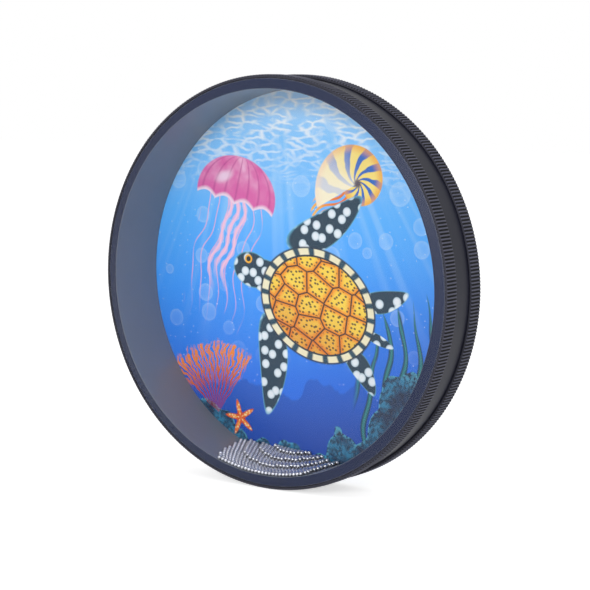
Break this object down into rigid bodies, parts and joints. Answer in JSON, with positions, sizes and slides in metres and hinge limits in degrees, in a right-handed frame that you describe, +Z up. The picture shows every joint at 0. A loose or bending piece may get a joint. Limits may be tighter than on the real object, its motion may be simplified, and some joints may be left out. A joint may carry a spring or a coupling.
{
  "type": "ocean drum",
  "caption": "Round sealed frame drum with a clear front head, a printed rear head, ribbed hoops and loose steel beads that hiss like surf when it is tilted.",
  "frame": {"origin": "centre of the drum, on its axis midway between the two heads", "axes": "+Y along the drum's axis from the clear front head to the printed rear head; +Z up, with the beads lying at the bottom; +X to the right seen from the front"},
  "size_m": [0.302, 0.05, 0.302],
  "materials": {
    "shell_black": "bent plywood ring, smooth black satin lacquer",
    "clear_film": "clear polyester film, glossy",
    "printed_film": "polyester film printed with an underwater picture, satin",
    "hoop_black": "moulded black plastic, ribbed",
    "bead_steel": "polished steel balls"
  },
  "bodies": {
    "drum": {"shell": "shell_black", "front_head": "clear_film", "rear_head": "printed_film", "front_hoop": "hoop_black", "rear_hoop": "hoop_black"},
    "bed_1": {"beads_bed_1": "bead_steel"},
    "bed_2": {"beads_bed_2": "bead_steel"},
    "bed_3": {"beads_bed_3": "bead_steel"},
    "bed_4": {"beads_bed_4": "bead_steel"},
    "bed_5": {"beads_bed_5": "bead_steel"},
    "top_2": {"beads_top_2": "bead_steel"},
    "top_3": {"beads_top_3": "bead_steel"},
    "top_4": {"beads_top_4": "bead_steel"},
    "top_5": {"beads_top_5": "bead_steel"}
  },
  "joints": [
    {"name": "bed_roll_1", "type": "hinge", "parent": "drum", "child": "bed_1", "pos_m": [0, 0, 0], "axis": [0, 1, 0], "continuous": true},
    {"name": "bed_roll_2", "type": "hinge", "parent": "drum", "child": "bed_2", "pos_m": [0, 0, 0], "axis": [0, 1, 0], "continuous": true},
    {"name": "bed_roll_3", "type": "hinge", "parent": "drum", "child": "bed_3", "pos_m": [0, 0, 0], "axis": [0, 1, 0], "continuous": true},
    {"name": "bed_roll_4", "type": "hinge", "parent": "drum", "child": "bed_4", "pos_m": [0, 0, 0], "axis": [0, 1, 0], "continuous": true},
    {"name": "bed_roll_5", "type": "hinge", "parent": "drum", "child": "bed_5", "pos_m": [0, 0, 0], "axis": [0, 1, 0], "continuous": true},
    {"name": "top_roll_2", "type": "slide", "parent": "bed_2", "child": "top_2", "axis": [0, 0, 1], "range_m": [0, 0.269]},
    {"name": "top_roll_3", "type": "slide", "parent": "bed_3", "child": "top_3", "axis": [0, 0, 1], "range_m": [0, 0.2635]},
    {"name": "top_roll_4", "type": "slide", "parent": "bed_4", "child": "top_4", "axis": [0, 0, 1], "range_m": [0, 0.2605]},
    {"name": "top_roll_5", "type": "slide", "parent": "bed_5", "child": "top_5", "axis": [0, 0, 1], "range_m": [0, 0.257]}
  ]
}
